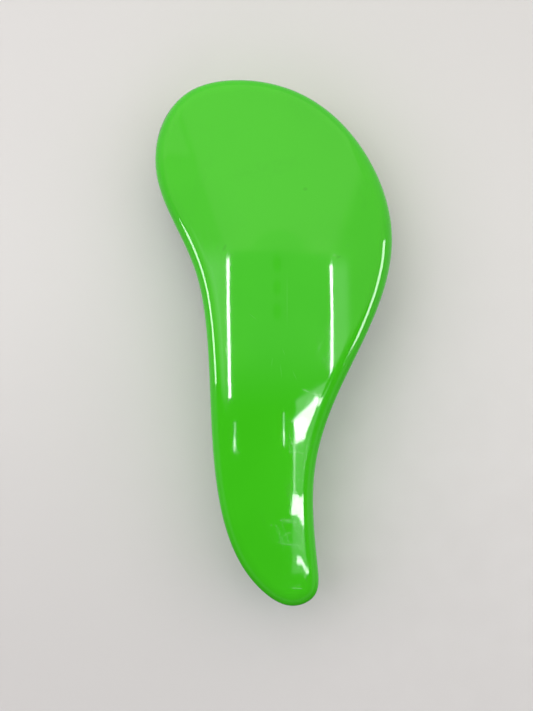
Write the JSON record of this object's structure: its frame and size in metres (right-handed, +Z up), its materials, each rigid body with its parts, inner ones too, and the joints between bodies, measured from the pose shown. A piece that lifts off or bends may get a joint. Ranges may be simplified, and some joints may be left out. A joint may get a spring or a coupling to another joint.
{
  "type": "slicker brush",
  "caption": "Hand-held slicker brush: a curved hollow plastic body, broad at the head and narrow at the grip, with a cushioned pad of fine bent wire pins.",
  "frame": {"origin": "centre of the bounding box in plan, on the surface that the pin tips touch", "axes": "+Z up from the pin tips to the back of the brush, +Y from the grip to the head, +X to the right seen from above with the head away from the viewer"},
  "size_m": [0.084, 0.186, 0.034],
  "materials": {
    "shell": "polished moulded plastic, bright green",
    "bezel": "fine spark-eroded texture, charcoal",
    "plate": "natural moulded plastic",
    "screw": "zinc plated",
    "foam": "open-cell foam",
    "canvas": "plain weave, rubberised",
    "rubber": "matt rubber",
    "pin_wire": "drawn, bright"
  },
  "bodies": {
    "casing": {"back_shell": "shell", "front_shell": "shell", "pad_bezel": "bezel", "backing_plate": "plate", "plate_screws": "screw", "foam_cushion": "foam"},
    "pin_pad": {"canvas_ply": "canvas", "rubber_face": "rubber", "wire_row_01": "pin_wire", "wire_row_02": "pin_wire", "wire_row_03": "pin_wire", "wire_row_04": "pin_wire", "wire_row_05": "pin_wire", "wire_row_06": "pin_wire", "wire_row_07": "pin_wire", "wire_row_08": "pin_wire", "wire_row_09": "pin_wire", "wire_row_10": "pin_wire", "wire_row_11": "pin_wire", "wire_row_12": "pin_wire", "wire_row_13": "pin_wire", "wire_row_14": "pin_wire", "wire_row_15": "pin_wire", "wire_row_16": "pin_wire", "wire_row_17": "pin_wire", "wire_row_18": "pin_wire", "wire_row_19": "pin_wire", "wire_row_20": "pin_wire", "wire_row_21": "pin_wire", "wire_row_22": "pin_wire", "wire_row_23": "pin_wire", "wire_row_24": "pin_wire", "wire_row_25": "pin_wire", "wire_row_26": "pin_wire", "wire_row_27": "pin_wire", "wire_row_28": "pin_wire", "wire_row_29": "pin_wire"}
  },
  "joints": [
    {"name": "pad_press", "type": "slide", "parent": "casing", "child": "pin_pad", "axis": [0, 0, 1], "range_m": [0, 0.0015], "stiffness_N_per_m": 4000, "springref_m": -0.0002, "deforming": ["foam_cushion"]}
  ]
}
